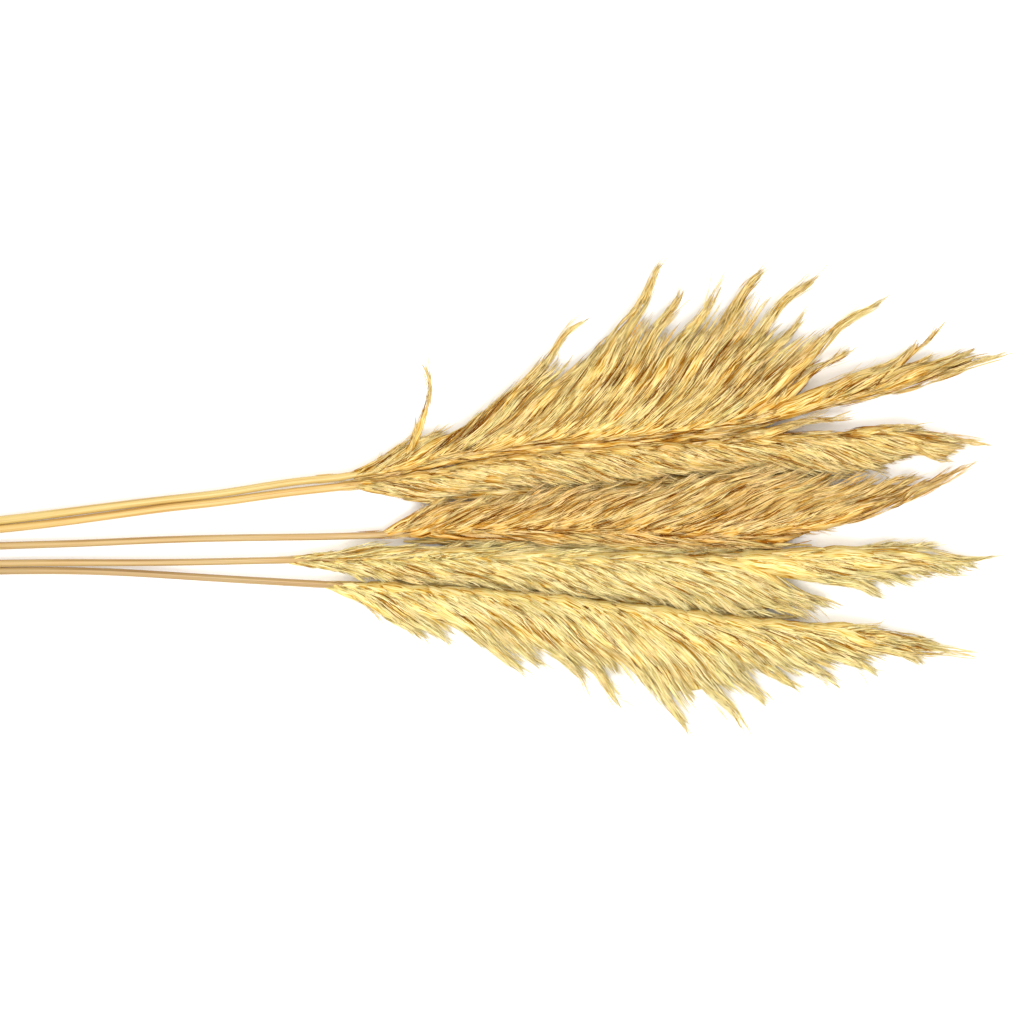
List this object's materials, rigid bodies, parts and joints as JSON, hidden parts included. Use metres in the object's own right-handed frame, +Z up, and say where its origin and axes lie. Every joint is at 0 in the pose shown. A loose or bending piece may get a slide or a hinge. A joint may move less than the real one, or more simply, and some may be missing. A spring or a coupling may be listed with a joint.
{
  "type": "bunch of pampas grass",
  "caption": "Bunch of dried pampas grass: long bare straw stems, each ending in a feathery plume of combed, pointed locks, lying flat as cut.",
  "frame": {"origin": "middle of the bunch's box, on the surface that it lies on", "axes": "+X along the bunch, from the cut ends of the stems to the tips of the plumes; +Y across the bunch, towards stem_1; +Z up from the surface"},
  "size_m": [0.8922, 0.3184, 0.0334],
  "materials": {
    "stem": "smooth dried grass stem, pale straw to tan, dull satin with fine lengthwise ribs",
    "plume": "dried pampas plume, golden straw, matt fibres combed into locks"
  },
  "bodies": {
    "root": {"stem_1": "stem", "stem_2": "stem", "stem_3": "stem", "stem_4": "stem", "stem_5": "stem", "plume_1": "plume", "plume_2": "plume", "plume_3": "plume", "plume_4": "plume", "plume_5": "plume"}
  },
  "joints": []
}
